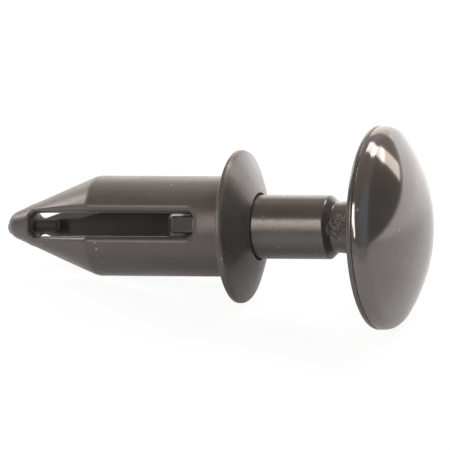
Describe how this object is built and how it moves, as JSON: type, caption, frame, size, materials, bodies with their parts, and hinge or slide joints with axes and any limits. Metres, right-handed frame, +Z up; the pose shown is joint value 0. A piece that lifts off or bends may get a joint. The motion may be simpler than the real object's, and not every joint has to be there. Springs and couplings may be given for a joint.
{
  "type": "plastic push rivet",
  "caption": "Push-in panel rivet: a slotted sleeve with a pointed closed nose and domed flange, spread by a sliding domed-head pin.",
  "frame": {"origin": "centre of the sleeve's seat, where the rivet's axis crosses the flat underside of the flange that lands on the panel", "axes": "+Z up, with the rivet lying as it rests, on the rims of its head and flange; the rivet's axis runs in the XZ plane, towards the head along +X and 9.79 degrees up from it"},
  "size_m": [0.0275, 0.0128, 0.0128],
  "materials": {
    "sleeve_nylon": "satin black moulded nylon",
    "pin_nylon": "black moulded nylon, polished on the head"
  },
  "bodies": {
    "sleeve": {"sleeve": "sleeve_nylon"},
    "pin": {"pin": "pin_nylon"}
  },
  "joints": [
    {"name": "pin_push", "type": "slide", "parent": "sleeve", "child": "pin", "axis": [-0.9854, 0, -0.1701], "range_m": [0, 0.00775]}
  ]
}
